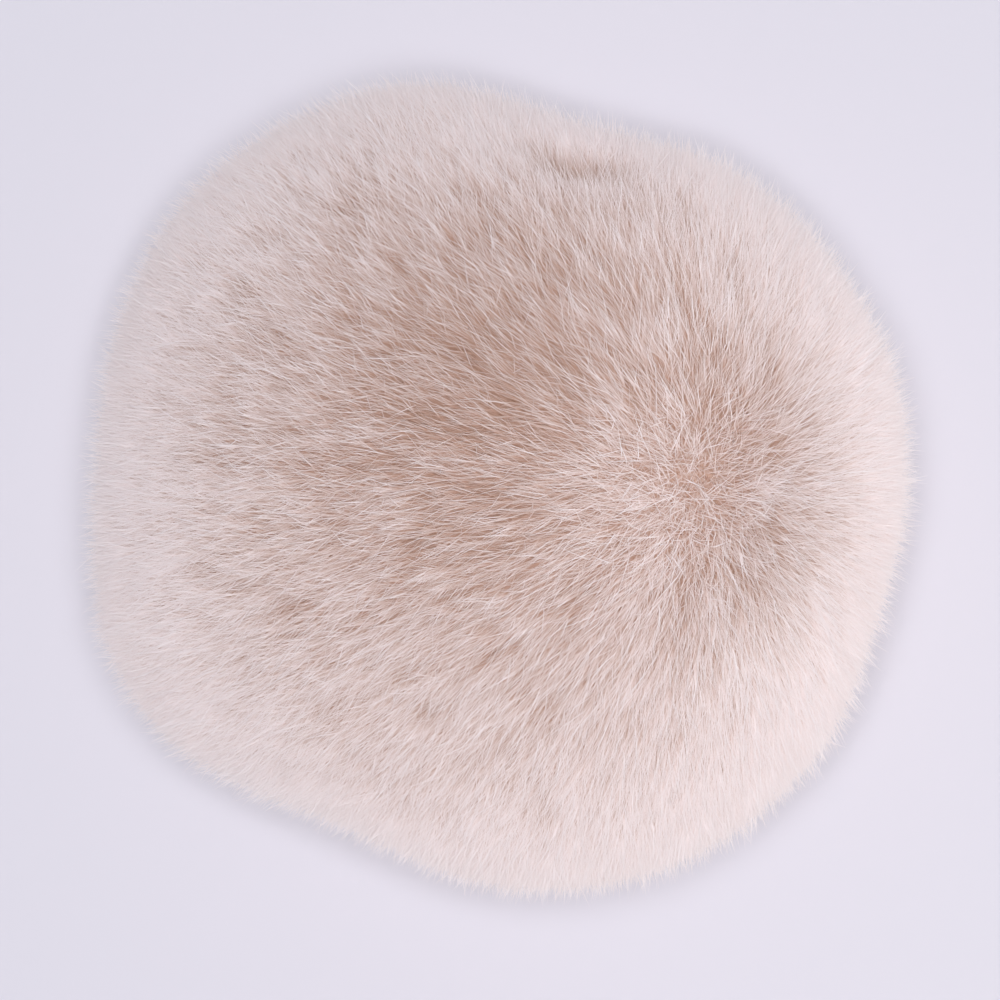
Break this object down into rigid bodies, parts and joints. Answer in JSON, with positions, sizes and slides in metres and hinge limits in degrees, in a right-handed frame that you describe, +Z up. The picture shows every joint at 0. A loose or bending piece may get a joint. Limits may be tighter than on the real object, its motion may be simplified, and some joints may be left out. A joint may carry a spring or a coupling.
{
  "type": "pom pom",
  "caption": "Round pom pom of long soft fur pile that parts from a crown near its top, lying on its flattened underside.",
  "frame": {"origin": "on the surface that the pom pom lies on, under the middle of its outline", "axes": "+Z up, away from the surface; +X towards the side where the pile parts at the crown"},
  "size_m": [0.1115, 0.1116, 0.0945],
  "materials": {
    "fur": "soft fur pile, pale cream with a warm tan root"
  },
  "bodies": {
    "root": {"pile_ball": "fur"}
  },
  "joints": []
}
